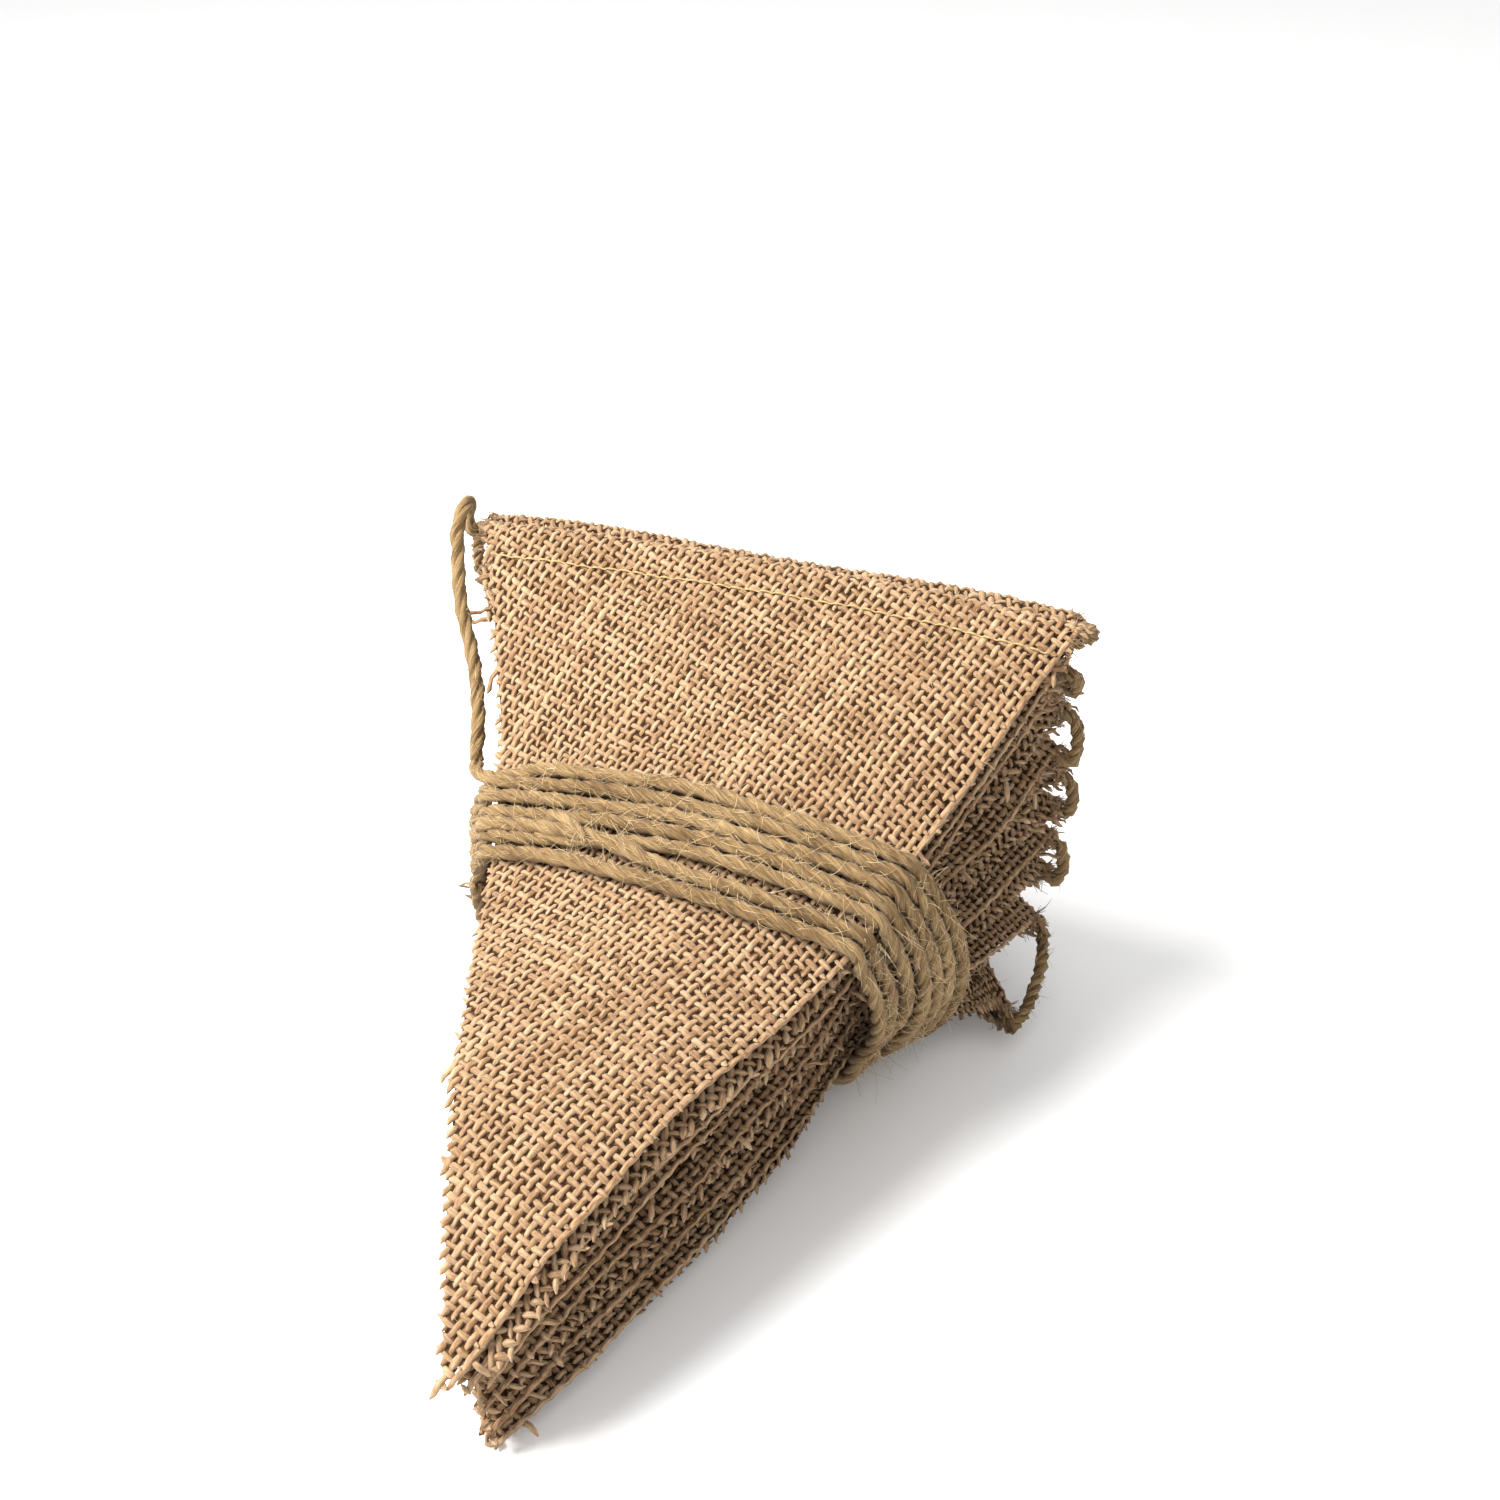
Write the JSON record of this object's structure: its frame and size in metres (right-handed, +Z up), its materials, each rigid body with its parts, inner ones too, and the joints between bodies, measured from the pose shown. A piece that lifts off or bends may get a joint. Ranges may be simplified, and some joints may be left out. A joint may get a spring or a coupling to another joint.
{
  "type": "burlap pennant bunting bundle",
  "caption": "Folded burlap pennant bunting: a fanned stack of triangular cloths on one jute cord, bound round its waist with the cord's tail.",
  "frame": {"origin": "middle of the bundle's outline seen from above, on the surface it lies on, the free tail left out", "axes": "+Y along the bundle from the pennants' tips to their hems, +Z up through the stack, +X to the right seen from the tips"},
  "size_m": [0.1626, 0.202, 0.1198],
  "materials": {
    "burlap": "coarse woven jute, matt",
    "jute_twine": "twisted jute twine, hairy and matt"
  },
  "bodies": {
    "root": {"pennant_01": "burlap", "pennant_02": "burlap", "pennant_03": "burlap", "pennant_04": "burlap", "pennant_05": "burlap", "pennant_06": "burlap", "pennant_07": "burlap", "pennant_08": "burlap", "pennant_09": "burlap", "pennant_10": "burlap", "pennant_11": "burlap", "pennant_12": "burlap", "hem_cord": "jute_twine", "twine_winding": "jute_twine", "twine_run": "jute_twine"}
  },
  "joints": []
}
